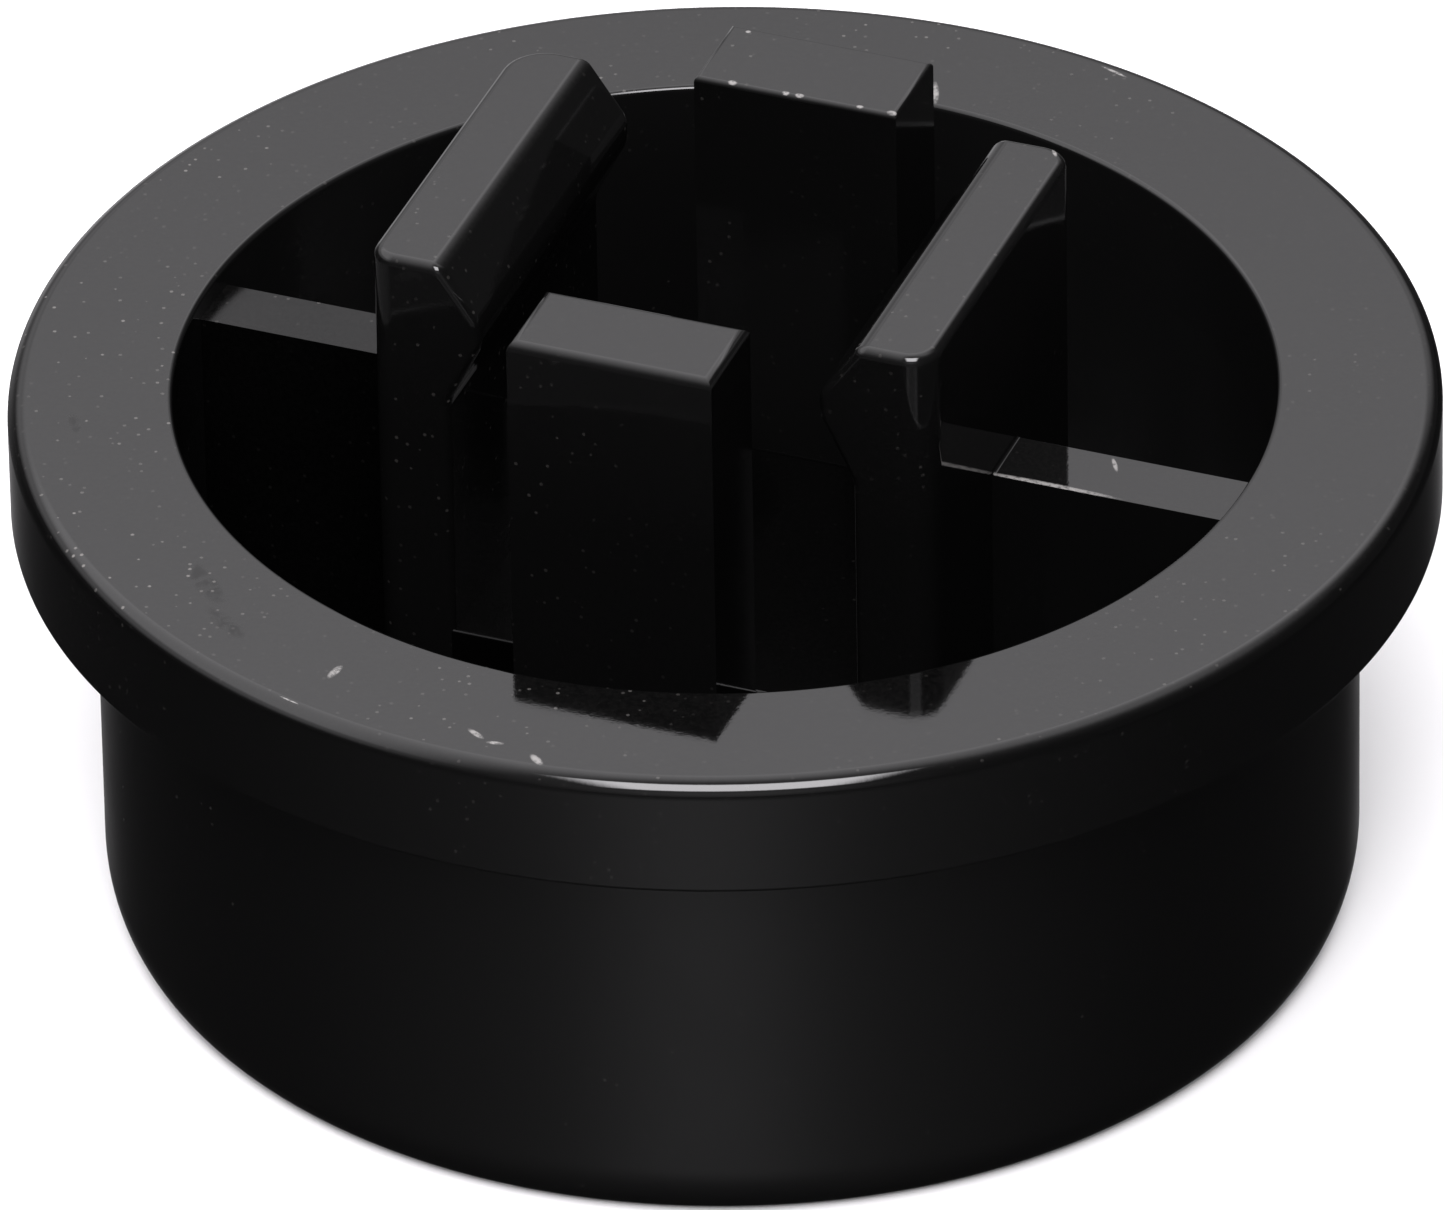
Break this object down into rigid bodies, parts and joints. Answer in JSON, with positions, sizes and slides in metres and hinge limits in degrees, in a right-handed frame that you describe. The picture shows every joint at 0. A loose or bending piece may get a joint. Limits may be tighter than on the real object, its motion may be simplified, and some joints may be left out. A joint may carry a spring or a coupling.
{
  "type": "tactile switch key cap",
  "caption": "Round black clip-on key cap lying face down: a blind flanged cup with ribs, guide posts and hooked spring fingers around a square plunger pocket.",
  "frame": {"origin": "centre of the outer button face, which the cap rests on", "axes": "+Z from the button face towards the open flanged end, X along the two ribs through the snap fingers, Y through the two guide posts"},
  "size_m": [0.013, 0.013, 0.0072],
  "materials": {
    "shell_plastic": "gloss black, fine dust and hairline scuffs on the flange",
    "well_plastic": "gloss black, polished core side",
    "finger_plastic": "gloss black, slightly duller tops"
  },
  "bodies": {
    "cap_shell": {"button_face": "shell_plastic", "barrel_wall": "shell_plastic", "flange_ring": "shell_plastic", "plunger_seat": "well_plastic", "left_rib": "well_plastic", "right_rib": "well_plastic", "left_finger_root": "finger_plastic", "right_finger_root": "finger_plastic", "front_guide_post": "finger_plastic", "back_guide_post": "finger_plastic"},
    "left_snap_finger": {"left_snap_arm": "finger_plastic", "left_snap_hook": "finger_plastic"},
    "right_snap_finger": {"right_snap_arm": "finger_plastic", "right_snap_hook": "finger_plastic"}
  },
  "joints": [
    {"name": "left_finger_flex", "type": "hinge", "parent": "cap_shell", "child": "left_snap_finger", "pos_m": [-0.0027, 0, 0.00505], "axis": [0, -1, 0], "range_deg": [0, 11], "stiffness_Nm_per_rad": 0.05},
    {"name": "right_finger_flex", "type": "hinge", "parent": "cap_shell", "child": "right_snap_finger", "pos_m": [0.0027, 0, 0.00505], "axis": [0, 1, 0], "range_deg": [0, 11], "stiffness_Nm_per_rad": 0.05}
  ]
}
